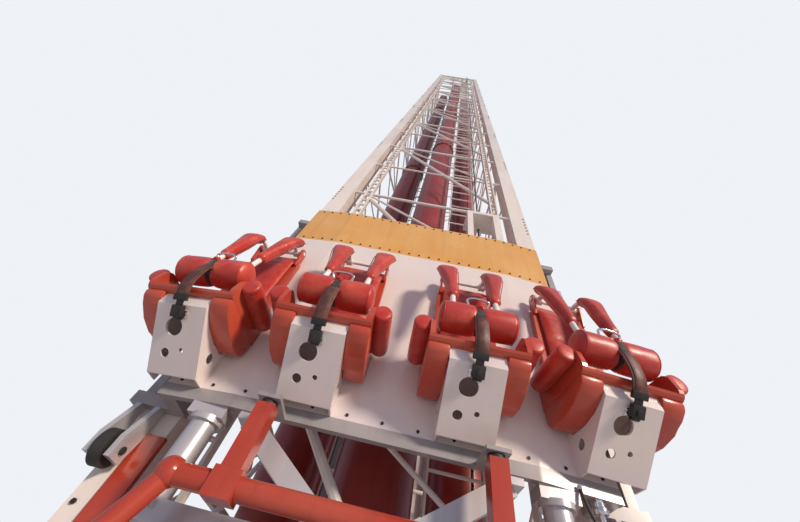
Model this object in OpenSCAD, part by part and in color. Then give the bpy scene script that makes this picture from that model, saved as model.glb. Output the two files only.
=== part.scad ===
// Drop tower ride: a lattice mast with four box columns, and a carriage with
// two rows of four seats that runs up and down it. The origin is the centre of
// the mast on the ground, the front is towards -Y, and sizes are millimetres.

/* [Mast] */
// Height of the mast above the ground
tower_h = 31200; // [24000:200:38000]
// Width of the mast across the outside of its columns
tower_w = 2900; // [2800:50:3100]
// Width of each square column
col_w = 230; // [190:10:240]
// Wall of the columns
col_wall = 14; // [8:1:25]
// Height of one bay of the bracing
panel_h = 2870; // [2500:10:3200]
// Height of the first bracing level
first_level = 700; // [680:10:780]
// Distance of each lattice chord from the middle of its side
chord_x = 1000; // [960:10:1040]
// Width of a lattice chord
chord_w = 120; // [90:10:150]
// Thickness of the two flats of a chord
flat_t = 20; // [12:2:30]
// Depth of the two flats of a chord
chord_d = 76; // [70:2:90]
// Diameter of the diagonal bracing tubes
brace_d = 60; // [40:5:64]
// Diameter of the horizontal bracing tubes
strut_d = 48; // [38:2:56]
// Diameter of the thin struts and stays between them
stay_d = 34; // [24:2:36]
// Height of a diagonal's low end above its bracing level
brace_foot = 500; // [300:20:700]
// Diameter of each pressure cylinder
cyl_d = 600; // [450:10:620]
// Distance of each pressure cylinder from the mast's axis
cyl_r = 800; // [780:10:820]
// Distance of the cylinders' heads below the top of the mast
cyl_drop = 2600; // [1500:100:4000]
// Width of the climbing ladder
ladder_w = 380; // [300:10:400]
// Spacing of the ladder's rungs
rung_pitch = 325; // [250:25:400]
// Height of the red cheek plates on the columns
cheek_h = 2570; // [1500:10:2600]

/* [Landing frame] */
// Height of the red cross pipe in front of the mast
bar_z = 2320; // [2200:10:2430]
// Diameter of the red pipes
bar_d = 90; // [60:5:100]
// Half the length of the red cross pipe
corner_x = 820; // [780:10:860]
// Spread of the landing frame's legs at the ground
leg_spread = 1700; // [1600:10:2000]
// Distance of each landing pad from the middle
pad_x = 575; // [540:5:600]

/* [Carriage] */
// Height of the bottom of the body panels
body_z = 2760; // [2700:10:3000]
// Height of the white body panels
body_h = 1680; // [1600:10:1750]
// Height of the orange band above them
band_h = 650; // [500:10:700]
// Distance of the flat front from the face of the mast
body_gap = 300; // [295:5:350]
// Half the width of the flat front
front_half = 850; // [840:5:870]
// Length of each angled wing of the body
wing_len = 430; // [420:2:440]
// Angle of the wings and of the outer seats
wing_a = 6; // [4:1:9]
// Thickness of the body panels
skin_t = 12; // [6:1:20]

/* [Seats] */
// Distance of the inner seats from the middle
seat_x = 440; // [432:2:446]
// Place of the outer seats along the wing
wing_seat = 366; // [362:1:372]
// Height of the seat pans above the bottom of the body panels
pan_up = 350; // [330:5:370]
// Width of a seat between its side wings
seat_w = 500; // [490:2:506]
// Thickness of the seat shell
shell_t = 28; // [18:2:30]
// Depth of the seat pan
pan_d = 440; // [420:10:460]
// Height of the seat back
back_h = 900; // [860:10:910]
// Diameter of the arm bolsters beside the seat
bolster_d = 104; // [90:2:108]
// Distance of the lap roller in front of the seat back
roller_y = 380; // [370:5:390]
// Height of the lap roller above the seat pan
roller_z = 205; // [195:5:225]
// Diameter of the lap roller
roller_d = 190; // [160:5:200]
// Length of the lap roller
roller_len = 470; // [400:5:480]
// Half the distance between the shoulder tubes
tube_x = 145; // [130:5:150]
// Diameter of the shoulder tubes
tube_d = 38; // [30:2:44]
// Height of the restraint's pivot above the seat pan
pivot_z = 960; // [950:5:990]
// Width of the shoulder pads at the top
cushion_w = 160; // [130:5:170]

/* [Hidden] */

white = "#e9e2dc";
silver = "#b9b6bc";
red = "#b3382c";
maroon = "#7a2a22";
orange = "#dd9a45";
black = "#2b2b2d";

// Mast: half its width, a column's middle, the lattice's plane and its levels
half_w = tower_w / 2;
col_c = half_w - col_w / 2;
face_y = half_w - 50;
base_t = 40;
foot_w = col_w + 220;
bolt_in = 45;
mast_head = 200;
levels = floor((tower_h - first_level - 600) / panel_h);
cyl_seat = base_t + 50;
ladder_z = 800;
ladder_y = half_w - 280;
cheek_t = 12;
cheek_return = 20;

// Hoist: a cable runs up outside the mast and down inside it, over two sheaves
yoke_x = 700;
cable_d = 22;
cable_y = -(half_w + 45);
sheave_r = 265;
sheave_w = 50;
sheave_lip = 18;
shaft_w = 60;
stand_t = 30;
stand_gap = 15;
top_sheave_z = tower_h + 300;
low_sheave_z = base_t + 330;

// Carriage: heights, the plan of the body and the frame behind it
body_y = half_w + body_gap;
bar_y = body_y + 150;
body_top = body_z + body_h;
band_top = body_top + band_h;
beam_h = 70;
beam_d = 40;
beam_z = body_z - beam_h;
wing_end = [front_half + wing_len * cos(wing_a), -body_y + wing_len * sin(wing_a)];
wing_mid = [front_half + wing_seat * cos(wing_a), -body_y + wing_seat * sin(wing_a)];
bend_r = 150;
bend_steps = 4;
side_x = half_w + 15;
side_t = 60;
side_post = 55;
link_w = 90;
leg_x = 940;
leg_y = body_y - 80;
leg_z = 2230;
leg_d = 140;
pad_t = 22;
pad_z = beam_z - pad_t;

// Guide wheels: the lower ones run on the column's face, the upper on its side
wheel_d = 180;
wheel_w = 60;
wheel_gap = 5;
wheel_off = half_w + wheel_d / 2 + wheel_gap;
wheel_in = 55;
low_wheel_z = body_z - 320;
top_wheel_z = band_top - 330;
cheek_near = 45;
cheek_far = 75;
axle_d = 40;

// Seats: heights and the side of the shell
seat_z = body_z + pan_up;
seat_gap = 10;
back_t = 45;
back_half = 215;
side_up = 130;
bolster_z = 100;
bolster_out = seat_w / 2 + shell_t + bolster_d / 2 - 12;
ear_x = 200;
ear_r = 42;

// Restraint: pivot, bend over the shoulder and the fall to the lap roller
pivot_y = 60;
shaft_d = 30;
hub_d = 64;
bend_turn = 78;
shoulder_r = 160;
collar_len = 40;
foot = [roller_y - 10, roller_z + 60];
fall = (pivot_z - foot[1] - shoulder_r * (1 - cos(bend_turn))) / sin(bend_turn);
reach = foot[0] - pivot_y - shoulder_r * sin(bend_turn) - fall * cos(bend_turn);
shoulder_end = [pivot_y + reach + shoulder_r * sin(bend_turn),
    pivot_z - shoulder_r * (1 - cos(bend_turn))];
cushion_t = 64;
cushion_low = 110;
cushion_end = 32;

// Points of an arc about c from angle a to angle b
function arc(c, r, a, b, n) =
    [for (i = [0:n]) let (t = a + (b - a) * i / n) c + r * [cos(t), sin(t)]];

// Plan of the body: the flat front and its wings, set in by a distance
function body_line(inset) =
    let (e = inset * [-sin(wing_a), cos(wing_a)])
    [[-wing_end[0] - e[0], wing_end[1] + e[1]], each bend(-1, inset), each bend(1, inset),
        wing_end + e];

// Points of the round bend between the front and the wing on one side
function bend(side, inset) =
    let (d = bend_r / cos(wing_a / 2),
         c = [side * (front_half - d * sin(wing_a / 2)), -body_y + d * cos(wing_a / 2)])
    [for (i = [0:bend_steps])
        let (t = wing_a * (side > 0 ? i : bend_steps - i) / bend_steps)
        c + (bend_r - inset) * [side * sin(t), -cos(t)]];

// The plan as a closed strip between two insets
module body_strip(outer, inner, h) {
    a = body_line(outer);
    b = body_line(inner);
    linear_extrude(height = h) polygon([each a, each [for (i = [len(b) - 1:-1:0]) b[i]]]);
}

// A box between two corners
module block(a, b) {
    translate(a) cube(b - a);
}

// A round bar between two points
module bar(p, q, d, sides = 32) {
    v = q - p;
    l = norm(v);
    translate(p)
        rotate([0, acos(v[2] / l), atan2(v[1], v[0])])
            cylinder(h = l, d = d, $fn = sides);
}

// A flat bar between two points in a plane of constant y
module flat_bar(x0, z0, x1, z1, y, w, t) {
    l = norm([x1 - x0, z1 - z0]);
    translate([x0, y, z0])
        rotate([0, -atan2(z1 - z0, x1 - x0), 0])
            translate([0, -t / 2, -w / 2]) cube([l, t, w]);
}

// A plate drawn in the plane of Y and Z, centred on x
module side_plate(x, t) {
    translate([x - t / 2, 0, 0]) rotate([90, 0, 90]) linear_extrude(height = t) children();
}

// The same thing on the back, turned half round
module back() {
    rotate([0, 0, 180]) children();
}

// Copies of the corner at +X -Y at all four corners of the mast
module at_corners() {
    for (sx = [-1, 1], sy = [-1, 1]) to_corner(sx, sy) children();
}

// Mirrors the corner at +X -Y to the corner with these signs
module to_corner(sx, sy) {
    mirror([sx < 0 ? 1 : 0, 0, 0]) mirror([0, sy > 0 ? 1 : 0, 0]) children();
}

// Square ring under the column feet, with a seat for each cylinder
module base_frame() {
    out = col_c + foot_w / 2;
    bolt = foot_w / 2 - bolt_in;
    color(silver) {
        difference() {
            block([-out, -out, 0], [out, out, base_t]);
            block([-cyl_r, -cyl_r, -1], [cyl_r, cyl_r, base_t + 1]);
            for (sx = [-1, 1], sy = [-1, 1], dx = [-1, 1], dy = [-1, 1])
                translate([sx * col_c + dx * bolt, sy * col_c + dy * bolt, -1])
                    cylinder(h = base_t + 2, d = 36, $fn = 24);
        }
        for (a = [0:90:270]) rotate([0, 0, a])
            translate([0, -cyl_r, base_t - 10]) cylinder(h = cyl_seat - base_t + 10, d = cyl_d + 80, $fn = 48);
    }
}

module columns() {
    color(white) at_corners() translate([col_c, -col_c, 0]) difference() {
        translate([-col_w / 2, -col_w / 2, base_t]) cube([col_w, col_w, tower_h - base_t]);
        translate([-col_w / 2 + col_wall, -col_w / 2 + col_wall, base_t + col_wall])
            cube([col_w - 2 * col_wall, col_w - 2 * col_wall, tower_h - base_t - 2 * col_wall]);
    }
}

// One side of the lattice: ladder chords tied to the columns, struts at each
// level and between them, and diagonals and stays that all fall to the right
module lattice_side() {
    y = -face_y;
    lap = flat_t / 2;
    inner = chord_x - chord_w / 2;
    tie = (chord_w - flat_t) / 2;
    color(white) {
        for (s = [-1, 1]) {
            for (k = [-1, 1])
                translate([s * chord_x + k * tie - lap, y - chord_d / 2, base_t])
                    cube([flat_t, chord_d, tower_h - mast_head - base_t]);
            for (i = [0:2 * levels]) let (z = first_level + i * panel_h / 2) {
                translate([s * chord_x - tie, y - 12, z - 12]) cube([2 * tie, 24, 24]);
                bar([s * (chord_x + tie), y, z], [s * (half_w - col_w), y, z], strut_d, 8);
            }
        }
        for (i = [0:levels]) let (z = first_level + i * panel_h)
            bar([-inner - lap, y, z], [inner + lap, y, z], strut_d, 8);
        for (i = [1:levels]) let (z = first_level + i * panel_h) {
            bar([-inner - lap, y, z - panel_h / 2], [inner + lap, y, z - panel_h / 2], stay_d, 8);
            bar([-inner - 4, y, z - 160], [inner + 4, y, z - panel_h + brace_foot], brace_d, 8);
            bar([-inner - 4, y, z - 64], [inner + 4, y, z - panel_h / 2 + 110], stay_d, 8);
        }
    }
}

module lattice_front() { lattice_side(); }
module lattice_back() { rotate([0, 0, 180]) lattice_side(); }
module lattice_left() { rotate([0, 0, -90]) lattice_side(); }
module lattice_right() { rotate([0, 0, 90]) lattice_side(); }

// Four closed cylinders with bolted flanges every second bay
module pressure_cylinders() {
    top = tower_h - cyl_drop;
    flange = cyl_d + 50;
    wall = 12;
    color(maroon) for (a = [0:90:270]) rotate([0, 0, a]) translate([0, -cyl_r, 0]) difference() {
        union() {
            translate([0, 0, cyl_seat]) cylinder(h = top - cyl_seat, d = cyl_d, $fn = 48);
            for (z = [2 * panel_h:2 * panel_h:top - 200])
                translate([0, 0, z]) cylinder(h = 60, d = flange, $fn = 48);
            translate([0, 0, top - 60]) cylinder(h = 60, d = flange, $fn = 48);
        }
        translate([0, 0, cyl_seat + 30])
            cylinder(h = top - cyl_seat - 70, d = cyl_d - 2 * wall, $fn = 48);
    }
}

// Ladder inside the front of the mast, hung from saddles on the struts
module climbing_ladder() {
    x0 = cyl_d / 2 + 40;
    color(white) {
        for (x = [x0, x0 + ladder_w])
            translate([x - 8, -ladder_y - 30, ladder_z]) cube([16, 60, tower_h - 900 - ladder_z]);
        for (z = [ladder_z + 100:rung_pitch:tower_h - 1000])
            bar([x0, -ladder_y, z], [x0 + ladder_w, -ladder_y, z], 24, 8);
        difference() {
            for (i = [1:levels - 1], x = [x0, x0 + ladder_w])
                translate([x - 8, -face_y - 5, first_level + i * panel_h - 40])
                    cube([16, face_y - ladder_y - 20, 80]);
            for (i = [1:levels - 1]) let (z = first_level + i * panel_h)
                bar([x0 - 50, -face_y, z], [x0 + ladder_w + 50, -face_y, z], strut_d + 0.6, 8);
        }
    }
}

// Ring beam between the column heads, with two beams across it
module top_frame() {
    z = tower_h - mast_head;
    in_w = half_w - col_w;
    color(white) {
        for (a = [0:90:270]) rotate([0, 0, a])
            block([-in_w, -half_w + 20, z], [in_w, -half_w + 120, z + 180]);
        for (x = [-350, 350])
            block([x - 50, -half_w + 120, z + 20], [x + 50, half_w - 120, z + 180]);
    }
}

// A sheave with a flared groove and lightening holes, on its shaft along X
module sheave() {
    rim = sheave_r + sheave_lip;
    rotate([0, 90, 0]) {
        difference() {
            rotate_extrude($fn = 48) difference() {
                translate([0, -sheave_w / 2]) square([rim, sheave_w]);
                translate([sheave_r, 0]) circle(d = cable_d + 1, $fn = 16);
                polygon([[sheave_r - 3, 10.5], [rim + 1, sheave_w / 2 - 4],
                    [rim + 1, 4 - sheave_w / 2], [sheave_r - 3, -10.5]]);
            }
            for (a = [0:72:288]) rotate([0, 0, a])
                translate([sheave_r * 0.58, 0, -sheave_w]) cylinder(h = 2 * sheave_w, d = 100, $fn = 24);
        }
        cylinder(h = sheave_w + 2 * (stand_gap + stand_t), d = shaft_w, center = true, $fn = 24);
    }
}

// Places a child at the top and bottom sheave of each cable
module at_sheaves() {
    for (a = [0, 180], z = [low_sheave_z, top_sheave_z])
        rotate([0, 0, a]) translate([yoke_x, cable_y + sheave_r, z]) children();
}

module sheaves() {
    color(silver) at_sheaves() sheave();
}

// Plates either side of each sheave, standing on the top or the base frame
module sheave_stands() {
    out = sheave_w / 2 + stand_gap + stand_t / 2;
    color(silver) for (a = [0, 180], k = [-1, 1]) rotate([0, 0, a])
        translate([yoke_x, cable_y + sheave_r, 0]) side_plate(k * out, stand_t) {
            difference() {
                union() {
                    stand(base_t, low_sheave_z);
                    stand(tower_h - 20, top_sheave_z);
                }
                for (z = [low_sheave_z, top_sheave_z])
                    translate([0, z]) circle(d = shaft_w + 0.1, $fn = 24);
            }
        }
}

// Outline of a stand from its foot to its round head about the shaft
module stand(z0, z1) {
    polygon([[-200, z0], [110, z0], each arc([0, z1], 52, 10, 170, 8)]);
}

// Each cable is one loop, up outside the mast and down inside it
module hoist_cables() {
    color(black) for (a = [0, 180]) rotate([0, 0, a]) translate([yoke_x, cable_y + sheave_r, 0]) {
        for (k = [-1, 1])
            translate([0, k * sheave_r, low_sheave_z])
                cylinder(h = top_sheave_z - low_sheave_z, d = cable_d, $fn = 16);
        for (e = [[top_sheave_z, 0], [low_sheave_z, 180]])
            translate([0, 0, e[0]]) rotate([e[1], 0, 0]) rotate([90, 0, 90])
                rotate_extrude(angle = 180, $fn = 48)
                    translate([sheave_r, 0]) circle(d = cable_d, $fn = 16);
    }
}

// Red plates on the inner half of each column's face, folded round its edge
module cheek_plates() {
    edge = half_w - col_w;
    color(red) at_corners() {
        block([edge - cheek_t, -half_w - cheek_t, base_t], [col_c, -half_w, cheek_h]);
        block([edge - cheek_t, -half_w - cheek_t, base_t], [edge, -half_w + cheek_return, cheek_h]);
    }
}

// Red pipe frame with two stubs that the carriage comes to rest on
module landing_frame() {
    color(red) {
        bar([-corner_x, -bar_y, bar_z], [corner_x, -bar_y, bar_z], bar_d);
        for (s = [-1, 1]) {
            translate([s * corner_x, -bar_y, bar_z]) sphere(d = bar_d + 30, $fn = 24);
            bar([s * corner_x, -bar_y, bar_z], [s * leg_spread, -bar_y - 260, 20], bar_d);
            translate([s * leg_spread, -bar_y - 260, 0]) cylinder(h = 40, d = 300, $fn = 24);
            block([s * pad_x - 45, -bar_y - 45, bar_z - 20], [s * pad_x + 45, -bar_y + 45, pad_z]);
            block([s * pad_x - 62, -bar_y - bar_d / 2 - 8, bar_z - 54],
                  [s * pad_x + 62, -bar_y + bar_d / 2 + 8, bar_z + 54]);
        }
    }
}

module landing_frame_front() { landing_frame(); }
module landing_frame_back() { back() landing_frame(); }

module landing_pads() {
    color(black) for (a = [0, 180], s = [-1, 1]) rotate([0, 0, a])
        translate([s * pad_x, -bar_y, pad_z]) cylinder(h = pad_t, d = 84, $fn = 24);
}

module body_panel() {
    color(white) translate([0, 0, body_z]) body_strip(0, skin_t, body_h);
}

module band() {
    color(orange) translate([0, 0, body_top]) body_strip(0, skin_t, band_h);
}

module body_panel_front() { body_panel(); }
module body_panel_back() { back() body_panel(); }
module band_front() { band(); }
module band_back() { back() band(); }

// Bottom and top beams behind the body panels, with posts between them and
// arms at both ends that reach the side frames
module end_frame() {
    post_y = -body_y + skin_t;
    top_z = band_top - beam_h;
    arm_x = wing_end[0] - 10;
    color(silver) {
        translate([0, 0, beam_z]) body_strip(-4, beam_d, beam_h);
        translate([0, 0, top_z]) body_strip(skin_t, beam_d, beam_h);
        for (s = [-1, 1])
            block([s * pad_x - 60, -bar_y - 55, beam_z], [s * pad_x + 60, -body_y + 20, beam_z + 20]);
        for (x = [-700, -250, 250, 700])
            block([x - 40, post_y, body_z - 1], [x + 40, post_y + 80, top_z + 1]);
        for (s = [-1, 1], z = [beam_z, top_z]) to_corner(s, -1) {
            block([arm_x - link_w, wing_end[1] + skin_t + 8, z], [arm_x, -half_w - 15, z + beam_h]);
            block([arm_x - link_w, -half_w - 80, z], [side_x + side_t, -half_w - 15, z + beam_h]);
        }
    }
}

module frame_front() { end_frame(); }
module frame_back() { back() end_frame(); }

// Side frame: two beams along the mast with a post at each end and a brace
module side_frame() {
    y = half_w + 15;
    z1 = band_top - beam_h;
    mid = side_x + side_t / 2;
    color(silver) {
        for (z = [beam_z, z1])
            block([side_x, -y, z], [side_x + side_t, y, z + beam_h]);
        for (k = [-1, 1])
            block([side_x, k > 0 ? y - side_post : -y, beam_z + beam_h - 1],
                  [side_x + side_t, k > 0 ? y : -y + side_post, z1 + 1]);
        bar([mid, -y + 80, beam_z + 60], [mid, y - 80, z1 + 10], 50, 24);
    }
}

module frame_right() { side_frame(); }
module frame_left() { back() side_frame(); }

// Legs and a cross head below the body, with a raking strut to the beam
module lower_frame() {
    rake = 100;
    color(silver) {
        for (s = [-1, 1]) to_corner(s, -1) {
            block([leg_x - 100, -leg_y - 65, beam_z - 60], [leg_x + 100, -leg_y + 60, beam_z]);
            translate([leg_x, -leg_y, leg_z]) cylinder(h = beam_z - leg_z - 50, d = leg_d, $fn = 32);
            translate([leg_x, -leg_y, beam_z - 85]) cylinder(h = 30, d = leg_d + 40, $fn = 32);
            block([640, -body_y + 5, beam_z - 40], [760, -leg_y + 35, beam_z]);
            flat_bar(710, beam_z - 25, 60, leg_z + 15, -leg_y, rake, 60);
        }
        block([-leg_x - 70, -leg_y - 45, leg_z - 45], [leg_x + 70, -leg_y + 45, leg_z + 40]);
    }
}

module lower_frame_front() { lower_frame(); }
module lower_frame_back() { back() lower_frame(); }

// Cheeks hanging from the end of the bottom beam, either side of a wheel
module low_bracket() {
    x = half_w - wheel_in;
    mid = (cheek_near + cheek_far) / 2;
    for (k = [-1, 1]) side_plate(x + k * mid, cheek_far - cheek_near) difference() {
        polygon([[-wheel_off - 60, low_wheel_z - 50], [-wheel_off + 50, low_wheel_z - 50],
            [-side_x, low_wheel_z + 100], [-side_x, beam_z], [-side_x - 65, beam_z],
            [-wheel_off - 60, low_wheel_z + 50]]);
        translate([-wheel_off, low_wheel_z]) circle(d = axle_d + 0.1, $fn = 24);
    }
}

// Cheeks beside the posts of the side frames, either side of a wheel
module top_bracket() {
    for (y = [-col_c - cheek_far, -col_c + cheek_near]) difference() {
        block([side_x, y, top_wheel_z - 60], [wheel_off + 60, y + cheek_far - cheek_near, top_wheel_z + 60]);
        translate([wheel_off, y - 1, top_wheel_z]) rotate([-90, 0, 0])
            cylinder(h = cheek_far - cheek_near + 2, d = axle_d + 0.1, $fn = 24);
    }
}

module wheel_brackets() {
    color(silver) at_corners() {
        low_bracket();
        top_bracket();
    }
}

// A tyre with its axle, about the X axis
module wheel() {
    rotate([0, 90, 0]) {
        cylinder(h = wheel_w, d = wheel_d, center = true, $fn = 32);
        cylinder(h = 2 * cheek_far + 20, d = axle_d, center = true, $fn = 24);
    }
}

module guide_wheels() {
    color(black) at_corners() {
        translate([half_w - wheel_in, -wheel_off, low_wheel_z]) wheel();
        translate([wheel_off, -col_c, top_wheel_z]) rotate([0, 0, 90]) wheel();
    }
}

// Two posts on the top beam and a head plate that holds the hoist cable
module cable_yokes() {
    post = 70;
    out = 200;
    rise = 640;
    y = -body_y + 20;
    color(white) for (a = [0, 180]) rotate([0, 0, a]) difference() {
        union() {
            for (x = [yoke_x - out, yoke_x + out - post])
                block([x, y, band_top], [x + post, y + post, band_top + rise]);
            block([yoke_x - out, y, band_top + rise], [yoke_x + out, cable_y + 45, band_top + rise + 60]);
        }
        translate([yoke_x, cable_y, band_top + rise - 1]) cylinder(h = 62, d = cable_d + 12, $fn = 24);
    }
}

// Places a child at seat i of a row, in the seat's own frame
module at_seat(i) {
    s = i % 2 == 0 ? -1 : 1;
    if (i < 2)
        translate([s * seat_x, -body_y - seat_gap, seat_z]) children();
    else
        translate([s * (wing_mid[0] + seat_gap * sin(wing_a)), wing_mid[1] - seat_gap * cos(wing_a), seat_z])
            rotate([0, 0, s * wing_a]) children();
}

// Steel box that carries a seat, with lightening holes in its cheeks and front
module pedestal() {
    w = seat_w - 190;
    t = 10;
    z0 = -pan_up;
    z1 = -shell_t;
    nose = [-pan_d + 60, z1 - 70];
    heel = [-70, z0];
    slope = atan2(nose[1] - heel[1], heel[0] - nose[0]);
    difference() {
        side_plate(0, w) polygon([[seat_gap, z0], heel, nose, [nose[0], z1], [seat_gap, z1]]);
        side_plate(0, w - 2 * t) polygon([[seat_gap + 1, z0 - 1], [heel[0] + t, z0 - 1],
            [nose[0] + 2 * t, nose[1] + t / 2], [nose[0] + 2 * t, z1 - t], [seat_gap + 1, z1 - t]]);
        for (h = [[-140, -110, 96], [-85, -220, 60], [-50, -140, 34], [-240, -90, 34]])
            translate([-w / 2 - 1, h[0], h[1]]) rotate([0, 90, 0]) cylinder(h = w + 2, d = h[2], $fn = 24);
        for (h = [[-30, 0.68, 104], [-62, 0.3, 52], [36, 0.36, 28]])
            translate([h[0], heel[0] + h[1] * (nose[0] - heel[0]), heel[1] + h[1] * (nose[1] - heel[1])])
                rotate([-slope, 0, 0]) cylinder(h = 4 * t, d = h[2], center = true, $fn = 24);
    }
}

// Side view of the tub under and beside the rider
function tub_side() =
    [[0, -shell_t], each arc([-pan_d + 50, 50 - shell_t], 50, 270, 180, 4),
        each arc([-pan_d + 70, side_up - 50], 60, 180, 90, 4), [-150, side_up + 10],
        [-back_t, side_up + 90], [0, side_up + 90]];

// Front view of the seat back, wide at the hips and narrow at the shoulders
function back_front() =
    let (o = seat_w / 2 + shell_t, r = 70)
    [[-o, -shell_t], [o, -shell_t], [o, side_up + 60], [back_half + 12, side_up + 190],
        each arc([back_half - r, back_h - r], r, 0, 90, 5),
        each arc([r - back_half, back_h - r], r, 90, 180, 5),
        [-back_half - 12, side_up + 190], [-o, side_up + 60]];

// Padded arm bolster with a rounded front end, along the side of the seat
module bolster() {
    r = bolster_d / 2;
    l = pan_d - 90;
    rotate([90, 0, 0]) rotate_extrude($fn = 24)
        polygon([[0, 0], [r, 0], [r, l - 30], [0.85 * r, l - 10], [0.5 * r, l], [0, l]]);
}

// Moulded tub and back with two ears for the restraint's shaft
module seat() {
    o = seat_w / 2 + shell_t;
    ear = [[-5, back_h - 110], each arc([-pivot_y, pivot_z], ear_r, 0, 180, 8), [-back_t - 25, back_h - 110]];
    difference() {
        side_plate(0, 2 * o) polygon(tub_side());
        block([-seat_w / 2, -pan_d - 40, 0], [seat_w / 2, -back_t / 2, side_up + 100]);
    }
    rotate([90, 0, 0]) linear_extrude(height = back_t) polygon(back_front());
    for (s = [-1, 1]) {
        side_plate(s * ear_x, 16) difference() {
            polygon(ear);
            translate([-pivot_y, pivot_z]) circle(d = shaft_d + 0.1, $fn = 24);
        }
        translate([s * bolster_out, -60, bolster_z]) bolster();
    }
}

module seats() {
    color(red) for (i = [0:3]) at_seat(i) seat();
}

module pedestals() {
    color(white) for (i = [0:3]) at_seat(i) pedestal();
}

module seats_front() { seats(); }
module seats_back() { back() seats(); }
module pedestals_front() { pedestals(); }
module pedestals_back() { back() pedestals(); }

// The straight stretch of a shoulder tube at x, from its bend to the roller
module falling_tube(x, d) {
    bar([x, -shoulder_end[0], shoulder_end[1]], [x, -foot[0], foot[1]], d);
}

// Shoulder tubes bent over the shoulders, on the shaft that they turn with
module restraint() {
    color(white) {
        for (x = [-tube_x, tube_x]) {
            translate([x, -pivot_y, pivot_z]) rotate([90, 0, 0]) cylinder(h = reach, d = tube_d, $fn = 24);
            translate([x, -pivot_y - reach, pivot_z - shoulder_r])
                rotate([0, -90, 0]) rotate([180, 0, 0])
                    rotate_extrude(angle = bend_turn, $fn = 64)
                        translate([shoulder_r, 0]) circle(d = tube_d, $fn = 24);
            falling_tube(x, tube_d);
            translate([x, -shoulder_end[0], shoulder_end[1]]) rotate([90 - bend_turn, 0, 0])
                cylinder(h = collar_len, d = tube_d + 12, center = true, $fn = 24);
            translate([x - 25, -pivot_y, pivot_z]) rotate([0, 90, 0]) cylinder(h = 50, d = hub_d, $fn = 24);
        }
        translate([-ear_x - 14, -pivot_y, pivot_z]) rotate([0, 90, 0])
            cylinder(h = 2 * ear_x + 28, d = shaft_d, $fn = 24);
    }
}

// Outline of a shoulder pad, narrow at the chest and wide at the shoulder
function cushion_outline(l) =
    let (r = cushion_w / 2)
    [each arc([0, cushion_end], cushion_end, 180, 360, 6), each arc([0, l - r], r, 0, 180, 10)];

// Lap roller in two halves on the ends of the shoulder tubes, and the two
// shoulder pads that the tubes run through
module harness() {
    r = roller_d / 2;
    l = roller_len / 2;
    waist = 22;
    color(red) difference() {
        union() {
            translate([0, -roller_y, roller_z]) rotate([0, 90, 0]) rotate_extrude($fn = 24)
                polygon([[0, -l], [r - 22, -l], [r, 25 - l], [r, -waist], [r - 18, 8 - waist],
                    [r - 18, waist - 8], [r, waist], [r, l - 25], [r - 22, l], [0, l]]);
            for (x = [-tube_x, tube_x])
                translate([x, -foot[0], foot[1]]) rotate([bend_turn, 0, 0])
                    translate([0, cushion_low, -cushion_t / 2]) linear_extrude(height = cushion_t)
                        polygon(cushion_outline(fall - cushion_low - 30));
        }
        for (x = [-tube_x, tube_x]) falling_tube(x, tube_d);
    }
}

// Places a child at seat i of the front or the back row
module seat_piece(i, row) {
    if (row == 0) at_seat(i) children();
    else back() at_seat(i) children();
}

module restraint_1() { seat_piece(0, 0) restraint(); }
module restraint_2() { seat_piece(1, 0) restraint(); }
module restraint_3() { seat_piece(2, 0) restraint(); }
module restraint_4() { seat_piece(3, 0) restraint(); }
module restraint_5() { seat_piece(0, 1) restraint(); }
module restraint_6() { seat_piece(1, 1) restraint(); }
module restraint_7() { seat_piece(2, 1) restraint(); }
module restraint_8() { seat_piece(3, 1) restraint(); }
module harness_1() { seat_piece(0, 0) harness(); }
module harness_2() { seat_piece(1, 0) harness(); }
module harness_3() { seat_piece(2, 0) harness(); }
module harness_4() { seat_piece(3, 0) harness(); }
module harness_5() { seat_piece(0, 1) harness(); }
module harness_6() { seat_piece(1, 1) harness(); }
module harness_7() { seat_piece(2, 1) harness(); }
module harness_8() { seat_piece(3, 1) harness(); }

base_frame();
columns();
lattice_front();
lattice_back();
lattice_left();
lattice_right();
pressure_cylinders();
climbing_ladder();
top_frame();
sheaves();
sheave_stands();
hoist_cables();
cheek_plates();
landing_frame_front();
landing_frame_back();
landing_pads();
body_panel_front();
body_panel_back();
band_front();
band_back();
frame_front();
frame_back();
frame_left();
frame_right();
lower_frame_front();
lower_frame_back();
wheel_brackets();
guide_wheels();
cable_yokes();
pedestals_front();
pedestals_back();
seats_front();
seats_back();
restraint_1();
restraint_2();
restraint_3();
restraint_4();
restraint_5();
restraint_6();
restraint_7();
restraint_8();
harness_1();
harness_2();
harness_3();
harness_4();
harness_5();
harness_6();
harness_7();
harness_8();
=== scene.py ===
import math
import bpy
import bmesh
from mathutils import Matrix, Vector


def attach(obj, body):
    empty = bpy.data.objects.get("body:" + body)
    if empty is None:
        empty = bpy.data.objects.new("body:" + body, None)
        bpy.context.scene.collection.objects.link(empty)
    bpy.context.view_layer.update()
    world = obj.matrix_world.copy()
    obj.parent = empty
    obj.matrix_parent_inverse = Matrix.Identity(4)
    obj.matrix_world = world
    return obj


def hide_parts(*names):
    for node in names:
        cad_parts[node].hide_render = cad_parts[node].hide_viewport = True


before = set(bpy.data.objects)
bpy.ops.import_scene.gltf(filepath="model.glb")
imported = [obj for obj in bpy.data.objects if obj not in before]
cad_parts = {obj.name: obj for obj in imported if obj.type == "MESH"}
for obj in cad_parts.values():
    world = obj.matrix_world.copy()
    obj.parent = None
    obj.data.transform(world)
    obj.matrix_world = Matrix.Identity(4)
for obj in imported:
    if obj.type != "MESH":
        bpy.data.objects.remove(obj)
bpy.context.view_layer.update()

# ---------------------------------------------------------------- camera
# The photograph looks steeply up at the front row from about two metres up,
# close to the mast, leaning a little to one side, through a very wide lens.
view_at = Vector((0.050, -3.472, 1.939))
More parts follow.
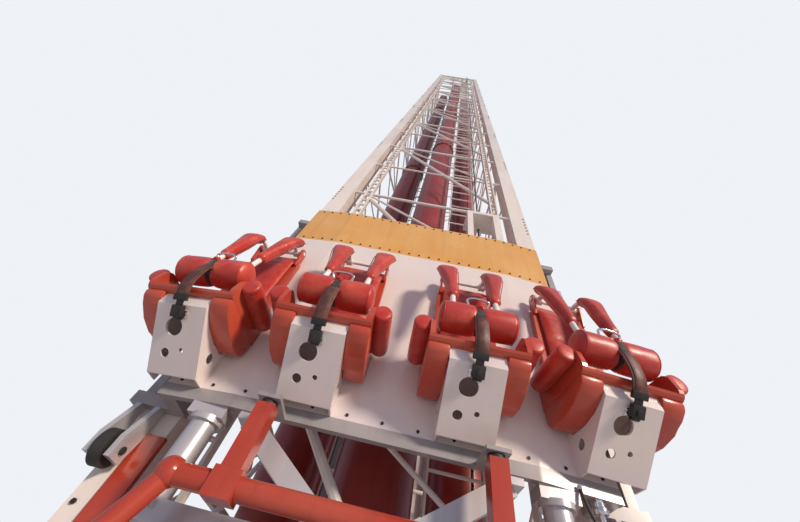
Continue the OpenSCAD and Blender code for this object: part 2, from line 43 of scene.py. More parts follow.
view_yaw, view_pitch, view_roll = map(math.radians, (-7.19, 53.97, 16.87))
sensor_mm, lens_mm, far_clip = 36.0, 13.85, 900.0
ahead = Vector((math.sin(view_yaw) * math.cos(view_pitch),
                math.cos(view_yaw) * math.cos(view_pitch), math.sin(view_pitch)))
level = Vector((math.cos(view_yaw), -math.sin(view_yaw), 0.0))
upright = level.cross(ahead)
right = level * math.cos(view_roll) + upright * math.sin(view_roll)
above = upright * math.cos(view_roll) - level * math.sin(view_roll)
camera = bpy.data.objects.new("camera", bpy.data.cameras.new("camera"))
camera.data.sensor_width = sensor_mm
camera.data.sensor_fit = "HORIZONTAL"
camera.data.lens = lens_mm
camera.data.clip_end = far_clip
turn = Matrix((right, above, -ahead)).transposed().to_4x4()
camera.matrix_world = Matrix.Translation(view_at) @ turn
bpy.context.collection.objects.link(camera)
bpy.context.scene.camera = camera
bpy.context.scene.view_settings.view_transform = "Standard"


# ---------------------------------------------------------------- studio
# A pale floor under a pale, even surround, a broad warm lamp from the right
# of the front row and a weaker cool one from the left.
def lamp(name, towards, strength, colour, spread):
    light = bpy.data.lights.new(name, "SUN")
    light.energy, light.color, light.angle = strength, colour, math.radians(spread)
    holder = bpy.data.objects.new(name, light)
    holder.rotation_euler = Vector(towards).to_track_quat("-Z", "Y").to_euler()
    bpy.context.collection.objects.link(holder)


lamp("key_lamp", (-0.66, 0.68, -0.36), 3.3, (1.0, 0.87, 0.72), 9)
lamp("fill_lamp", (0.75, 0.55, 0.25), 0.40, (0.80, 0.87, 1.0), 40)

world = bpy.data.worlds.new("surround")
bpy.context.scene.world = world
world.use_nodes = True
nodes, links = world.node_tree.nodes, world.node_tree.links
nodes.clear()


def even_light(colour, strength):
    node = nodes.new("ShaderNodeBackground")
    node.inputs["Color"].default_value = (*colour, 1)
    node.inputs["Strength"].default_value = strength
    return node.outputs[0]


either = nodes.new("ShaderNodeMixShader")
links.new(nodes.new("ShaderNodeLightPath").outputs["Is Camera Ray"], either.inputs[0])
links.new(even_light((0.66, 0.74, 1.0), 0.42), either.inputs[1])
links.new(even_light((0.86, 0.89, 0.93), 1.0), either.inputs[2])
links.new(either.outputs[0], nodes.new("ShaderNodeOutputWorld").inputs["Surface"])


def blank_finish(name):
    """A new material, its node tree and its shader."""
    material = bpy.data.materials.new(name)
    material.use_nodes = True
    return material, material.node_tree, material.node_tree.nodes["Principled BSDF"]


floor_reach = 400
floor_mesh = bpy.data.meshes.new("floor")
floor_mesh.from_pydata([(x * floor_reach, y * floor_reach, 0)
                        for x, y in ((-1, -1), (1, -1), (1, 1), (-1, 1))], [], [(0, 1, 2, 3)])
floor = bpy.data.objects.new("floor", floor_mesh)
bpy.context.collection.objects.link(floor)
pale, tree, shader = blank_finish("pale_floor")
shader.inputs["Base Color"].default_value = (0.70, 0.69, 0.67, 1)
shader.inputs["Roughness"].default_value = 0.85
floor_mesh.materials.append(pale)


# ---------------------------------------------------------------- columns
# Four square box columns of welded plate, sprayed warm white outdoors. Pairs
# of bolts close each splice, and a row of dark ones runs up the outer edge of
# the lowest lengths.
def shader_group(name, wanted, given):
    """A node group with float or colour sockets, and its two end nodes."""
    tree = bpy.data.node_groups.new(name, "ShaderNodeTree")
    kinds = {"c": "NodeSocketColor", "f": "NodeSocketFloat"}
    for title, kind, value in wanted:
        socket = tree.interface.new_socket(name=title, in_out="INPUT", socket_type=kinds[kind])
        socket.default_value = value
    for title, kind in given:
        tree.interface.new_socket(name=title, in_out="OUTPUT", socket_type=kinds[kind])
    return tree, tree.nodes.new("NodeGroupInput"), tree.nodes.new("NodeGroupOutput")


def object_place(tree):
    return tree.nodes.new("ShaderNodeTexCoord").outputs["Object"]


def noise_of(tree, source, scale, detail, roughness=0.55):
    node = tree.nodes.new("ShaderNodeTexNoise")
    node.inputs["Scale"].default_value = scale
    node.inputs["Detail"].default_value = detail
    node.inputs["Roughness"].default_value = roughness
    tree.links.new(source, node.inputs["Vector"])
    return node.outputs["Fac"]


def stretched(tree, source, scale):
    node = tree.nodes.new("ShaderNodeMapping")
    node.inputs["Scale"].default_value = scale
    tree.links.new(source, node.inputs["Vector"])
    return node.outputs["Vector"]


def fed(tree, socket, value):
    """Sets a socket to a plain value, or links it to another node's output."""
    if isinstance(value, (int, float, tuple)):
        socket.default_value = value
    else:
        tree.links.new(value, socket)


def ranged(tree, source, low, high, start=0.0, end=1.0):
    node = tree.nodes.new("ShaderNodeMapRange")
    for title, value in (("Value", source), ("From Min", low), ("From Max", high),
                         ("To Min", start), ("To Max", end)):
        fed(tree, node.inputs[title], value)
    return node.outputs["Result"]


def mixed(tree, factor, a, b):
    node = tree.nodes.new("ShaderNodeMix")
    node.data_type = "RGBA"
    for index, value in ((0, factor), (6, a), (7, b)):
        fed(tree, node.inputs[index], value)
    return node.outputs[2]


def reckoned(tree, way, a, b):
    """Two values over the surface worked into one, by MULTIPLY or SUBTRACT."""
    node = tree.nodes.new("ShaderNodeMath")
    node.operation = way
    for index, value in ((0, a), (1, b)):
        fed(tree, node.inputs[index], value)
    return node.outputs[0]


def multiplied(tree, a, b):
    return reckoned(tree, "MULTIPLY", a, b)


def relief_of(tree, height, strength, distance, under=None):
    """The normal of a bump; under is the normal of another bump that it adds to."""
    node = tree.nodes.new("ShaderNodeBump")
    node.inputs["Strength"].default_value = strength
    node.inputs["Distance"].default_value = distance
    tree.links.new(height, node.inputs["Height"])
    if under is not None:
        tree.links.new(under, node.inputs["Normal"])
    return node.outputs["Normal"]


# Outdoor wear, shared by every painted finish: rain streaks down the object,
# cloudy fading, small chips and a fine orange-peel skin; on the fairing the cloudy faded tone is a
# lilac painted sky reflection instead.
weather, wanted, given = shader_group(
    "outdoor_wear",
    [("Paint", "c", (0.8, 0.8, 0.8, 1)), ("Dirt", "c", (0.2, 0.16, 0.13, 1)),
     ("Faded and reflection", "c", (0.9, 0.9, 0.9, 1)), ("Streaks", "f", 0.3), ("Fading and reflection", "f", 0.3),
     ("Chips", "f", 0.2), ("Gloss low", "f", 0.25), ("Gloss high", "f", 0.5)],
    [("Color", "c"), ("Roughness", "f"), ("Height", "f")])
place = object_place(weather)
rain = noise_of(weather, stretched(weather, place, (9.0, 9.0, 0.55)), 1.6, 6, 0.62)
rain = ranged(weather, rain, 0.52, 0.78)
clouds = noise_of(weather, place, 1.7, 5)
flecks = noise_of(weather, place, 46.0, 3, 0.7)
chips = multiplied(weather, ranged(weather, flecks, 0.70, 0.74), wanted.outputs["Chips"])
skin = noise_of(weather, place, 210.0, 2)
fading_and_reflection = multiplied(weather, ranged(weather, clouds, 0.42, 0.68), wanted.outputs["Fading and reflection"])
tone = mixed(weather, fading_and_reflection, wanted.outputs["Paint"], wanted.outputs["Faded and reflection"])
tone = mixed(weather, multiplied(weather, rain, wanted.outputs["Streaks"]), tone,
             wanted.outputs["Dirt"])
tone = mixed(weather, chips, tone, wanted.outputs["Dirt"])
gloss = ranged(weather, clouds, 0.3, 0.7, wanted.outputs["Gloss low"], wanted.outputs["Gloss high"])
height = reckoned(weather, "SUBTRACT", multiplied(weather, skin, 0.25), chips)
for title, value in (("Color", tone), ("Roughness", gloss), ("Height", height)):
    weather.links.new(value, given.inputs[title])


def painted(name, colour, dirt, faded_and_reflection_tone, streaks=0.3, fading_and_reflection=0.3, chips=0.2, gloss=(0.22, 0.45),
            coat=0.35, metal=0.0, bump=0.12):
    """A sprayed finish with outdoor wear; the coat and metal are plain numbers."""
    material, tree, shader = blank_finish(name)
    wear = tree.nodes.new("ShaderNodeGroup")
    wear.node_tree = weather
    for title, value in (("Paint", (*colour, 1)), ("Dirt", (*dirt, 1)), ("Faded and reflection", (*faded_and_reflection_tone, 1)),
                         ("Streaks", streaks), ("Fading and reflection", fading_and_reflection), ("Chips", chips),
                         ("Gloss low", gloss[0]), ("Gloss high", gloss[1])):
        wear.inputs[title].default_value = value
    tree.links.new(wear.outputs["Color"], shader.inputs["Base Color"])
    tree.links.new(wear.outputs["Roughness"], shader.inputs["Roughness"])
    tree.links.new(relief_of(tree, wear.outputs["Height"], bump, 0.002), shader.inputs["Normal"])
    shader.inputs["Coat Weight"].default_value = coat
    shader.inputs["Coat Roughness"].default_value = 0.12
    shader.inputs["Metallic"].default_value = metal
    return material


def finish_of(material, *names):
    """Gives CAD nodes their finish."""
    for name in names:
        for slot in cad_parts[name].material_slots:
            slot.material = material


white_paint = painted("warm_white_gloss", (0.80, 0.715, 0.655), (0.30, 0.20, 0.15),
                      (0.84, 0.79, 0.76), streaks=0.22, fading_and_reflection=0.5, chips=0.15)
finish_of(white_paint, "columns")


# Bolt heads and rivets stand on points that carry the way they face
def heads_tree():
    tree = bpy.data.node_groups.new("heads_on_points", "GeometryNodeTree")
    for title, kind, way, value in (
            ("Geometry", "Geometry", "INPUT", None), ("Head width", "Float", "INPUT", 0.02),
            ("Head height", "Float", "INPUT", 0.008), ("Sides", "Int", "INPUT", 6),
            ("Finish", "Material", "INPUT", None), ("Geometry", "Geometry", "OUTPUT", None)):
        socket = tree.interface.new_socket(name=title, in_out=way, socket_type="NodeSocket" + kind)
        if value is not None:
            socket.default_value = value
    start, end = tree.nodes.new("NodeGroupInput"), tree.nodes.new("NodeGroupOutput")
    head = tree.nodes.new("GeometryNodeMeshCylinder")
    half = tree.nodes.new("ShaderNodeMath")
    half.operation = "MULTIPLY"
    half.inputs[1].default_value = 0.5
    facing = tree.nodes.new("GeometryNodeInputNamedAttribute")
    facing.data_type = "FLOAT_VECTOR"
    facing.inputs["Name"].default_value = "facing"
    turned = tree.nodes.new("FunctionNodeAlignRotationToVector")
    turned.axis = "Z"
    copies = tree.nodes.new("GeometryNodeInstanceOnPoints")
    real = tree.nodes.new("GeometryNodeRealizeInstances")
    coated = tree.nodes.new("GeometryNodeSetMaterial")
    for giver, title, taker, wanted in (
            (start, "Head width", half, 0), (half, 0, head, "Radius"),
            (start, "Head height", head, "Depth"), (start, "Sides", head, "Vertices"),
            (start, "Geometry", copies, "Points"), (head, "Mesh", copies, "Instance"),
            (facing, "Attribute", turned, "Vector"), (turned, "Rotation", copies, "Rotation"),
            (copies, "Instances", real, "Geometry"), (real, "Geometry", coated, "Geometry"),
            (start, "Finish", coated, "Material"), (coated, "Geometry", end, "Geometry")):
        tree.links.new(giver.outputs[title], taker.inputs[wanted])
    return tree


def settled(name, mesh, tree, values):
    """Runs a Geometry Nodes tree on a mesh and keeps the result as a plain mesh object."""
    carrier = bpy.data.objects.new(name, mesh)
    bpy.context.collection.objects.link(carrier)
    modifier = carrier.modifiers.new("made", "NODES")
    modifier.node_group = tree
    for item in tree.interface.items_tree:
        if item.in_out == "INPUT" and item.name in values:
            modifier[item.identifier] = values[item.name]
    graph = bpy.context.evaluated_depsgraph_get()
    plain = bpy.data.meshes.new_from_object(carrier.evaluated_get(graph))
    bpy.data.objects.remove(carrier)
    plain.name = name
    result = bpy.data.objects.new(name, plain)
    bpy.context.collection.objects.link(result)
    return result


bolt_heads = heads_tree()


def bolted(name, places, width, depth, material, body, sides=6):
    """One piece of bolt heads: places are (point, facing) pairs in metres."""
    mesh = bpy.data.meshes.new(name)
    mesh.from_pydata([Vector(p) + Vector(n).normalized() * depth / 2 for p, n in places], [], [])
    mesh.attributes.new("facing", "FLOAT_VECTOR", "POINT")
    for index, (p, n) in enumerate(places):
        mesh.attributes["facing"].data[index].vector = Vector(n).normalized()
    piece = settled(name, mesh, bolt_heads, {"Head width": width, "Head height": depth,
                                             "Sides": sides, "Finish": material})
    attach(piece, body)


steel = painted("zinc_bolt_steel", (0.42, 0.41, 0.42), (0.16, 0.11, 0.08), (0.55, 0.54, 0.55),
                streaks=0.2, fading_and_reflection=0.4, chips=0.3, gloss=(0.3, 0.5), coat=0.0, metal=0.85)
dark_steel = painted("oiled_bolt_steel", (0.045, 0.045, 0.05), (0.12, 0.08, 0.06),
                     (0.10, 0.10, 0.11), streaks=0.2, fading_and_reflection=0.5, chips=0.2, gloss=(0.3, 0.5),
                     coat=0.0, metal=0.7)
half_w, bay_h = 1.45, 2.87
splice_count, splice_rows, edge_rows = 10, 6, 11
splice_in, splice_pitch, splice_low = half_w - 0.030, 0.09, 0.22
edge_in, edge_pitch, edge_low = half_w - 0.040, 0.225, 0.20
splices, edges = [], []
for sx in (-1, 1):
    for sy in (-1, 1):
        for splice in range(1, splice_count + 1):
            for step in range(splice_rows):
                z = splice_low + splice * bay_h + step * splice_pitch
                splices.append(((sx * splice_in, sy * half_w, z), (0, sy, 0)))
                splices.append(((sx * half_w, sy * splice_in, z), (sx, 0, 0)))
        for step in range(edge_rows):
            edges.append(((sx * edge_in, sy * half_w, edge_low + step * edge_pitch), (0, sy, 0)))
bolted("splice_bolts", splices, 0.024, 0.010, steel, "mast")
bolted("column_bolts", edges, 0.026, 0.012, dark_steel, "mast")


# ---------------------------------------------------------------- lattice
# Welded tube bracing between the columns, sprayed with the same warm white.
# Short rungs are welded between the two flats of each upright chord.
finish_of(white_paint, "lattice_front", "lattice_back", "lattice_left", "lattice_right",
          "top_frame", "climbing_ladder")
chord_x, chord_y = 1.0, 1.4
rung_count, rung_low, rung_pitch, rung_length, rung_width = 180, 0.26, 0.17, 0.09, 0.034
rungs = []
for step in range(rung_count):
    z = rung_low + rung_pitch * step
    for x in (-chord_x, chord_x):
        for y in (-chord_y, chord_y):
            rungs.append(((x - rung_length / 2, y, z), (1, 0, 0)))
            rungs.append(((y, x - rung_length / 2, z), (0, 1, 0)))
bolted("chord_rungs", rungs, rung_width, rung_length, white_paint, "mast",
       sides=8)

# ---------------------------------------------------------------- cylinders
# Four long air cylinders stand inside the mast, red, in flanged lengths that are bolted
# that are bolted together; their red is darkened all over with painted shade, and the paint has
# chalked and darkened at the joints.
# The cylinders' enamel is the lit red darkened with painted shade.
red_darkened_by_painted_shade = painted("red_enamel_darkened_by_painted_shade", (0.25, 0.018, 0.012), (0.06, 0.010, 0.008),
                       (0.33, 0.035, 0.022), streaks=0.5, fading_and_reflection=0.6, chips=0.3, gloss=(0.3, 0.5))
finish_of(red_darkened_by_painted_shade, "pressure_cylinders")


def turns(count, closed=False):
    """Equal angles round a circle, with the first again at the end if it is closed."""
    return [2 * math.pi * i / count for i in range(count + closed)]


cylinder_at, flange_count, flange_pitch, flange_under = 0.8, 4, 2 * bay_h, 0.045
bolt_circle, flange_holes = 0.33, 16
flange_bolts = []
for step in range(1, flange_count + 1):
    for cx, cy in ((0, -cylinder_at), (0, cylinder_at), (cylinder_at, 0), (-cylinder_at, 0)):
        for a in turns(flange_holes):
            flange_bolts.append(((cx + bolt_circle * math.cos(a), cy + bolt_circle * math.sin(a),
                                  flange_pitch * step - flange_under), (0, 0, -1)))
bolted("flange_bolts", flange_bolts, 0.036, 0.022, steel, "mast")

# ---------------------------------------------------------------- footings
# The base plate, the sheaves and their stands are hot-dip galvanised, with a
# dull crystal pattern, and rust run-off near the floor.
zinc = painted("galvanised_steel", (0.40, 0.39, 0.40), (0.18, 0.11, 0.07), (0.58, 0.57, 0.60),
               streaks=0.35, fading_and_reflection=0.8, chips=0.1, gloss=(0.34, 0.55), coat=0.0, metal=0.75)
finish_of(zinc, "base_frame", "sheaves", "sheave_stands")

# ---------------------------------------------------------------- frames
# The carriage's welded frames: grey enamel on the beams round the mast, silver
# enamel on the legs and bars below the body and on the wheels' brackets.
grey_paint = painted("grey_beam_enamel", (0.33, 0.30, 0.30), (0.13, 0.09, 0.07),
                     (0.45, 0.42, 0.43), streaks=0.3, fading_and_reflection=0.5, chips=0.2, gloss=(0.3, 0.5),
                     coat=0.2, metal=0.1)
silver = painted("silver_enamel", (0.60, 0.565, 0.575), (0.25, 0.18, 0.14), (0.72, 0.69, 0.70),
                 streaks=0.2, fading_and_reflection=0.5, chips=0.2, gloss=(0.26, 0.42), coat=0.25, metal=0.45)
finish_of(grey_paint, "frame_left", "frame_right", "frame_front", "frame_back")
finish_of(silver, "lower_frame_front", "lower_frame_back", "wheel_brackets")

# ---------------------------------------------------------------- cables
# Two closed loops of greased wire rope over the top and bottom sheaves; the
# strands show as short dark and light bands. White yokes on the body hold them.
rope, tree, shader = blank_finish("greased_wire_rope")
place = object_place(tree)
strands = tree.nodes.new("ShaderNodeTexWave")
strands.bands_direction = "Z"
strands.inputs["Scale"].default_value = 14.0
strands.inputs["Distortion"].default_value = 0.4
tree.links.new(stretched(tree, place, (2.2, 2.2, 1.0)), strands.inputs["Vector"])
grease = ranged(tree, noise_of(tree, place, 6.0, 4), 0.4, 0.65)
tree.links.new(mixed(tree, multiplied(tree, strands.outputs["Fac"], 0.7),
                     (0.05, 0.047, 0.045, 1), (0.20, 0.19, 0.18, 1)), shader.inputs["Base Color"])
tree.links.new(ranged(tree, grease, 0.0, 1.0, 0.32, 0.6), shader.inputs["Roughness"])
shader.inputs["Metallic"].default_value = 0.8
tree.links.new(relief_of(tree, strands.outputs["Fac"], 0.6, 0.003), shader.inputs["Normal"])
finish_of(rope, "hoist_cables")
finish_of(white_paint, "cable_yokes")

# ---------------------------------------------------------------- red stops
# Cheek plates on the lower columns and two landing frames that stand on the
# floor, all in red enamel; rubber pads on the frames' posts take the carriage.
red_paint = painted("red_enamel", (0.42, 0.045, 0.022), (0.13, 0.03, 0.02), (0.55, 0.12, 0.07),
                    streaks=0.3, fading_and_reflection=0.5, chips=0.4, gloss=(0.2, 0.4))
rubber = painted("black_rubber", (0.022, 0.021, 0.021), (0.10, 0.085, 0.07), (0.06, 0.058, 0.056),
                 streaks=0.3, fading_and_reflection=0.8, chips=0.0, gloss=(0.55, 0.75), coat=0.0, bump=0.3)
finish_of(red_paint, "cheek_plates", "landing_frame_front", "landing_frame_back")
finish_of(rubber, "landing_pads", "guide_wheels")

# ---------------------------------------------------------------- body
# The carriage's fairing is white moulded skin over a steel frame, with a warm
# shine, and a yellow-orange band above it that dark dome rivets fix.
# The fairing's lilac faded tone (0.72, 0.64, 0.68), laid on in cloudy patches, is painted sky
# reflection, not fading.
body_white = painted("fairing_white_gloss", (0.80, 0.70, 0.65), (0.45, 0.34, 0.28),
                     (0.72, 0.64, 0.68), streaks=0.10, fading_and_reflection=0.7, chips=0.05,
                     gloss=(0.12, 0.24), coat=0.6, bump=0.05)
orange_paint = painted("orange_enamel", (0.72, 0.36, 0.085), (0.30, 0.13, 0.03),
                       (0.80, 0.48, 0.18), streaks=0.25, fading_and_reflection=0.6, chips=0.1,
                       gloss=(0.18, 0.32), coat=0.5)
black_steel = painted("blackened_steel", (0.035, 0.032, 0.032), (0.10, 0.07, 0.05),
                      (0.08, 0.076, 0.075), streaks=0.2, fading_and_reflection=0.6, chips=0.2,
                      gloss=(0.35, 0.5), coat=0.0, metal=0.6)
finish_of(body_white, "body_panel_front", "body_panel_back", "pedestals_front", "pedestals_back")
finish_of(orange_paint, "band_front", "band_back")
body_y, wing_start, wing_lean = 1.75, 0.85, math.radians(6)


def along_body(x):
    """The front row's body at a place across it: its y, and the way it faces."""
    if abs(x) < wing_start:
        return -body_y, (0.0, -1.0)
    side = 1 if x > 0 else -1
    return (-body_y + (abs(x) - wing_start) * math.tan(wing_lean),
            (side * math.sin(wing_lean), -math.cos(wing_lean)))


rivet_first, rivet_pitch, rivet_count = -1.2, 0.1, 25
skin_row, band_rows = 2.79, (4.475, 5.055)
rivets = []
for sign in (1, -1):
    for step in range(rivet_count):
        x = rivet_first + rivet_pitch * step
        y, (nx, ny) = along_body(x)
        for z in band_rows + ((skin_row,) if step % 2 == 0 else ()):
            rivets.append(((sign * x, sign * y, z), (sign * nx, sign * ny, 0)))
bolted("body_rivets", rivets, 0.018, 0.006, black_steel, "carriage", sides=10)

# ---------------------------------------------------------------- seat shells
# Eight moulded seats in glossy red plastic, scuffed on their edges, with a
# fine moulding grain; the tubes that swing over them are powder coated white.
shell = painted("moulded_red_plastic", (0.47, 0.052, 0.026), (0.20, 0.03, 0.02),
                (0.60, 0.13, 0.07), streaks=0.12, fading_and_reflection=0.5, chips=0.25, gloss=(0.2, 0.42),
                coat=0.3)
tube_white = painted("white_powder_coat", (0.84, 0.80, 0.77), (0.35, 0.26, 0.2),
                     (0.88, 0.86, 0.85), streaks=0.1, fading_and_reflection=0.4, chips=0.25, gloss=(0.22, 0.38),
                     coat=0.3)
seat_numbers = range(1, 9)
finish_of(shell, "seats_front", "seats_back")
finish_of(tube_white, *(f"restraint_{k}" for k in seat_numbers))


# ---------------------------------------------------------------- pads
# The shoulder pads and lap roller are foam in red coated cloth: a fine leather
# grain, a soft sheen, creases and paler rubbed wear. A welt is sewn round each
# pad and round each end of the roller.
vinyl, tree, shader = blank_finish("red_coated_cloth")
place = object_place(tree)
grain = tree.nodes.new("ShaderNodeTexVoronoi")
grain.feature = "DISTANCE_TO_EDGE"
grain.inputs["Scale"].default_value = 420.0
tree.links.new(place, grain.inputs["Vector"])
creases = noise_of(tree, place, 26.0, 6, 0.6)
rubbed = ranged(tree, noise_of(tree, place, 7.0, 5, 0.6), 0.48, 0.72)
grime = ranged(tree, noise_of(tree, place, 3.1, 4), 0.42, 0.62)
tone = mixed(tree, rubbed, (0.50, 0.028, 0.016, 1), (0.64, 0.09, 0.045, 1))
tone = mixed(tree, multiplied(tree, grime, 0.35), tone, (0.30, 0.018, 0.012, 1))
tree.links.new(tone, shader.inputs["Base Color"])
tree.links.new(ranged(tree, creases, 0.3, 0.7, 0.30, 0.48), shader.inputs["Roughness"])
fine = relief_of(tree, ranged(tree, grain.outputs["Distance"], 0.0, 0.25), 0.25, 0.0006)
tree.links.new(relief_of(tree, creases, 0.35, 0.004, under=fine), shader.inputs["Normal"])
shader.inputs["Sheen Weight"].default_value = 0.12
shader.inputs["Coat Weight"].default_value = 0.2
shader.inputs["Coat Roughness"].default_value = 0.3

inner_seat, outer_seat = (0.44, -1.76, 3.11), (1.21504, -1.72169, 3.11)
half_turn = Matrix.Rotation(math.pi, 4, "Z")
tube_x, tube_foot, tube_lean, tube_straight = 0.145, (-0.370, 0.265), math.radians(78), 0.581
bend_r, bend_centre = 0.16, (-0.0927, 0.80)
pad_start, pad_length, pad_splay = 0.185, 0.525, 0.036
pad_foot_half, pad_widening = 0.036, 0.050
roller_y, roller_z, roller_r, roller_half = -0.380, 0.205, 0.0945, 0.237
welt_r, welt_sides, roller_welt_x, roller_welt_r = 0.0032, 8, 0.212, 0.0935


def seat_at(k):
    """Where seat k stands: its pan's top at the back, facing -Y before it is turned."""
    i, back = (k - 1) % 4, k > 4
    side = -1 if i % 2 == 0 else 1
    x, y, z = inner_seat if i < 2 else outer_seat
    lean = wing_lean * side if i > 1 else 0.0
    there = Matrix.Translation((side * x, y, z)) @ Matrix.Rotation(lean, 4, "Z")
    return half_turn @ there if back else there


def gathered(name, parts, material, body, smooth=40):
    """One piece from (points, faces) parts already in place, with outward normals."""
    mesh = bpy.data.meshes.new(name)
    points, faces = [], []
    for some_points, some_faces in parts:
        base = len(points)
        points.extend(tuple(p) for p in some_points)
        faces.extend(tuple(base + i for i in face) for face in some_faces)
    mesh.from_pydata(points, [], faces)
    form = bmesh.new()
    form.from_mesh(mesh)
    bmesh.ops.remove_doubles(form, verts=form.verts, dist=0.00002)
    bmesh.ops.recalc_face_normals(form, faces=form.faces)
    form.to_mesh(mesh)
    form.free()
    mesh.shade_smooth()
    mesh.set_sharp_from_angle(angle=math.radians(smooth))
    mesh.materials.append(material)
    piece = bpy.data.objects.new(name, mesh)
    bpy.context.collection.objects.link(piece)
    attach(piece, body)
    return piece


def lofted(rings):
    """Rings of points joined one to the next, with closed ends."""
    n = len(rings[0])
    points = [p for ring in rings for p in ring]
    faces = [(k * n + i, k * n + (i + 1) % n, (k + 1) * n + (i + 1) % n, (k + 1) * n + i)
             for k in range(len(rings) - 1) for i in range(n)]
    faces += [tuple(reversed(range(n))), tuple(range(len(points) - n, len(points)))]
    return points, faces


def with_directions(path):
    """Each point of a path with the path's direction there."""
    path = [Vector(p) for p in path]
    for k, point in enumerate(path):
        yield point, (path[min(k + 1, len(path) - 1)] - path[max(k - 1, 0)]).normalized()


def tubed(path, radius, sides=14):
    """A round bar along a path."""
    normal, rings = None, []
    for point, along in with_directions(path):
        if normal is None:
            normal = along.orthogonal()
        normal = (normal - along * normal.dot(along)).normalized()
        side = along.cross(normal)
        rings.append([point + (normal * math.cos(a) + side * math.sin(a)) * radius
                      for a in turns(sides)])
    return lofted(rings)


def moved(part, matrix):
    return [matrix @ Vector(p) for p in part[0]], part[1]


def tube_point(s):
    """A point of the falling tube s metres above its foot, and the tube's direction there."""
    lean, (foot_y, foot_z), (bend_y, bend_z) = tube_lean, tube_foot, bend_centre
    if s < tube_straight:
        return (Vector((0, foot_y + s * math.cos(lean), foot_z + s * math.sin(lean))),
                Vector((0, math.cos(lean), math.sin(lean))))
    turned = lean - (s - tube_straight) / bend_r
    return (Vector((0, bend_y - bend_r * math.sin(turned), bend_z + bend_r * math.cos(turned))),
            Vector((0, math.cos(turned), math.sin(turned))))


def pad_section(t):
    """The right pad at t, 0 at its foot and 1 at its top: its place on the tube, the tube's
    direction, its offset, its half width, and how far it is from a rounded end."""
    point, along = tube_point(pad_start + pad_length * t)
    ease = t * t * (3 - 2 * t)
    end = min(1.0, math.sin(math.pi / 2 * min(1.0, min(t, 1 - t) / 0.07 + 0.03)))
    half = (pad_foot_half + pad_widening * ease) * (0.30 + 0.70 * end)
    return point, along, tube_x + pad_splay * ease, half, end


def pad_shape():
    """The right shoulder pad: narrow below, broad and round where it folds over the shoulder."""
    rings, count = [], 46
    for k in range(count):
        t = k / (count - 1)
        point, along, out, half, end = pad_section(t)
        face = Vector((1, 0, 0)).cross(along).normalized()
        thick = (0.036 + 0.006 * math.sin(math.pi * t)) * (0.28 + 0.72 * end)
        ring = []
        for a in turns(32):
            c, d = math.cos(a), math.sin(a)
            u = math.copysign(abs(c) ** 0.62, c) * half
            v = math.copysign(abs(d) ** 0.80, d) * thick
            if abs(d) < 0.10:
                u *= 1.035
            ring.append(point + Vector((out + u, 0, 0)) + face * v)
        rings.append(ring)
    return lofted(rings)


def roller_point(x, r, a):
    return Vector((x, roller_y + r * math.cos(a), roller_z + r * math.sin(a)))


def roller_shape():
    """The lap roller: two swollen halves with a waist for the strap and gathered ends."""
    rings, count = [], 61
    for k in range(count):
        t = -1 + 2 * k / (count - 1)
        x = roller_half * t
        edge = 1 - max(0.0, (abs(t) - 0.86) / 0.14) ** 2.4 * 0.42
        waist = 1 - 0.17 * math.exp(-(x / 0.022) ** 2)
        swell = 1 + 0.035 * math.cos(math.pi * (abs(t) - 0.5))
        r = roller_r * edge * waist * swell
        gather = 1 - math.exp(-(x / 0.05) ** 2)
        rings.append([roller_point(x, r * (1 + 0.006 * math.sin(9 * a + 30 * x) * gather), a)
                      for a in turns(48)])
    return lofted(rings)


def puffed(part, voxel, reach):
    """The part's cover blown up by its foam as cloth, each point moving at most reach."""
    mesh = bpy.data.meshes.new("cover")
    mesh.from_pydata([tuple(p) for p in part[0]], [], [tuple(f) for f in part[1]])
    cover = bpy.data.objects.new("cover", mesh)
    bpy.context.collection.objects.link(cover)
    remesh = cover.modifiers.new("even", "REMESH")
    remesh.mode, remesh.voxel_size = "VOXEL", voxel
    graph = bpy.context.evaluated_depsgraph_get()
    even = bpy.data.meshes.new_from_object(cover.evaluated_get(graph))
    cover.modifiers.clear()
    cover.data = even
    before = [v.co.copy() for v in even.vertices]
    last_frame, blow, stiffness = 20, 4.0, 20.0
    cloth = cover.modifiers.new("blown", "CLOTH")
    cloth.settings.use_pressure = True
    cloth.settings.uniform_pressure_force = blow
    cloth.settings.effector_weights.gravity = 0.0
    cloth.settings.quality = 5
    cloth.settings.tension_stiffness = cloth.settings.compression_stiffness = stiffness
    cloth.point_cache.frame_start, cloth.point_cache.frame_end = 1, last_frame
    for frame_number in range(1, last_frame + 1):
        bpy.context.scene.frame_set(frame_number)
    graph = bpy.context.evaluated_depsgraph_get()
    after = [v.co.copy() for v in cover.evaluated_get(graph).data.vertices]
    bpy.context.scene.frame_set(1)
    drift = sum((a - b for a, b in zip(after, before)), Vector()) / len(before)
    points = []
    for old, blown in zip(before, after):
        step = blown - drift - old
        points.append(old + (step if step.length < reach else step.normalized() * reach))
    faces = [tuple(f.vertices) for f in even.polygons]
    bpy.data.objects.remove(cover)
    return points, faces


def pad_welt():
    """The welt sewn round the right shoulder pad where its face meets its back."""
    sides, count = ([], []), 30
    for k in range(count):
        point, _, out, half, _ = pad_section(0.03 + 0.94 * k / (count - 1))
        for side, sign in zip(sides, (-1, 1)):
            side.append(point + Vector((out + sign * (half + 0.0035), 0, 0)))
    loop = sides[0] + list(reversed(sides[1]))
    return tubed(loop + [loop[0]], welt_r, welt_sides)


def placed(matrix, *parts):
    return [moved(part, matrix) for part in parts]


